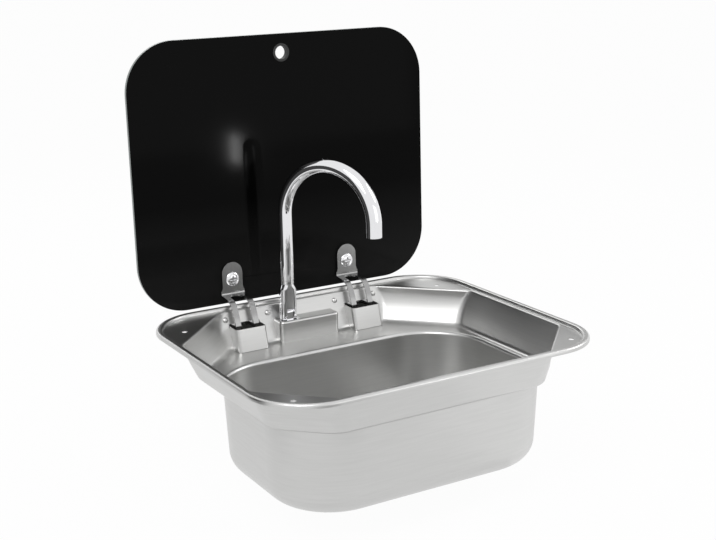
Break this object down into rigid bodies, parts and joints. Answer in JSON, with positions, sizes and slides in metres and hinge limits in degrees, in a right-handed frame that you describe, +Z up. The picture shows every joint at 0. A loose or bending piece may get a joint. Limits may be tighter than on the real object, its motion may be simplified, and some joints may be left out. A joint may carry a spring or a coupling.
{
  "type": "drop-in sink",
  "caption": "Drop-in stainless sink with a stepped bowl, a black glass lid on two rear hinges, and a swan-neck tap that swivels and folds down under the lid.",
  "frame": {"origin": "centre of the rim outline, on the plane of the worktop that the rim rests on", "axes": "+X to the right seen from the front, +Y towards the hinges, +Z up"},
  "size_m": [0.42, 0.3869, 0.5102],
  "materials": {
    "pressed_steel": "satin pressed stainless sheet",
    "satin_steel": "satin",
    "chrome": "polished chrome plate",
    "black_glass": "opaque black tempered glass, polished",
    "rubber": "matt black",
    "plastic": "matt moulded plastic"
  },
  "bodies": {
    "sink": {"basin": "pressed_steel", "hinge_housing_left": "pressed_steel", "hinge_housing_right": "pressed_steel", "housing_rivet_left_1": "pressed_steel", "housing_rivet_left_2": "pressed_steel", "housing_rivet_right_1": "pressed_steel", "housing_rivet_right_2": "pressed_steel", "waste_flange": "pressed_steel", "hinge_pin_left": "satin_steel", "hinge_pin_right": "satin_steel", "tap_base": "chrome", "tap_seal": "rubber", "tap_washer": "satin_steel", "tap_nut": "satin_steel", "tap_inlet": "chrome", "waste_seal": "rubber", "waste_gasket": "rubber", "waste_body": "plastic", "waste_screw": "satin_steel", "waste_nut": "plastic", "waste_tail": "plastic"},
    "lid": {"glass_lid": "black_glass", "lid_grommet": "rubber", "hinge_bracket_left": "satin_steel", "bracket_gasket_left": "rubber", "lid_screw_left": "chrome", "lid_bush_left": "plastic", "lid_washer_left": "plastic", "lid_nut_left": "chrome", "hinge_bracket_right": "satin_steel", "bracket_gasket_right": "rubber", "lid_screw_right": "chrome", "lid_bush_right": "plastic", "lid_washer_right": "plastic", "lid_nut_right": "chrome"},
    "tap_foot": {"tap_fork": "chrome", "fold_pin": "satin_steel"},
    "spout": {"tap_spout": "chrome", "swivel_collar": "chrome", "aerator": "plastic"},
    "plug": {"waste_plug": "rubber"}
  },
  "joints": [
    {"name": "lid_hinge", "type": "hinge", "parent": "sink", "child": "lid", "pos_m": [0, 0.1734, -0.0173], "axis": [1, 0, 0], "range_deg": [0, 91]},
    {"name": "tap_fold", "type": "hinge", "parent": "sink", "child": "tap_foot", "pos_m": [-0.0265, 0.149, -0.0074], "axis": [1, 0, 0], "range_deg": [0, 90]},
    {"name": "tap_swivel", "type": "hinge", "parent": "tap_foot", "child": "spout", "pos_m": [-0.0265, 0.149, 0.0293], "axis": [0, 0, 1], "range_deg": [-86, 34]},
    {"name": "plug_lift", "type": "slide", "parent": "sink", "child": "plug", "axis": [0, 0, 1], "range_m": [0, 0.01]}
  ],
  "couplings": [
    {"joint": "tap_fold", "follows": "lid_hinge", "ratio": 0.989}
  ]
}
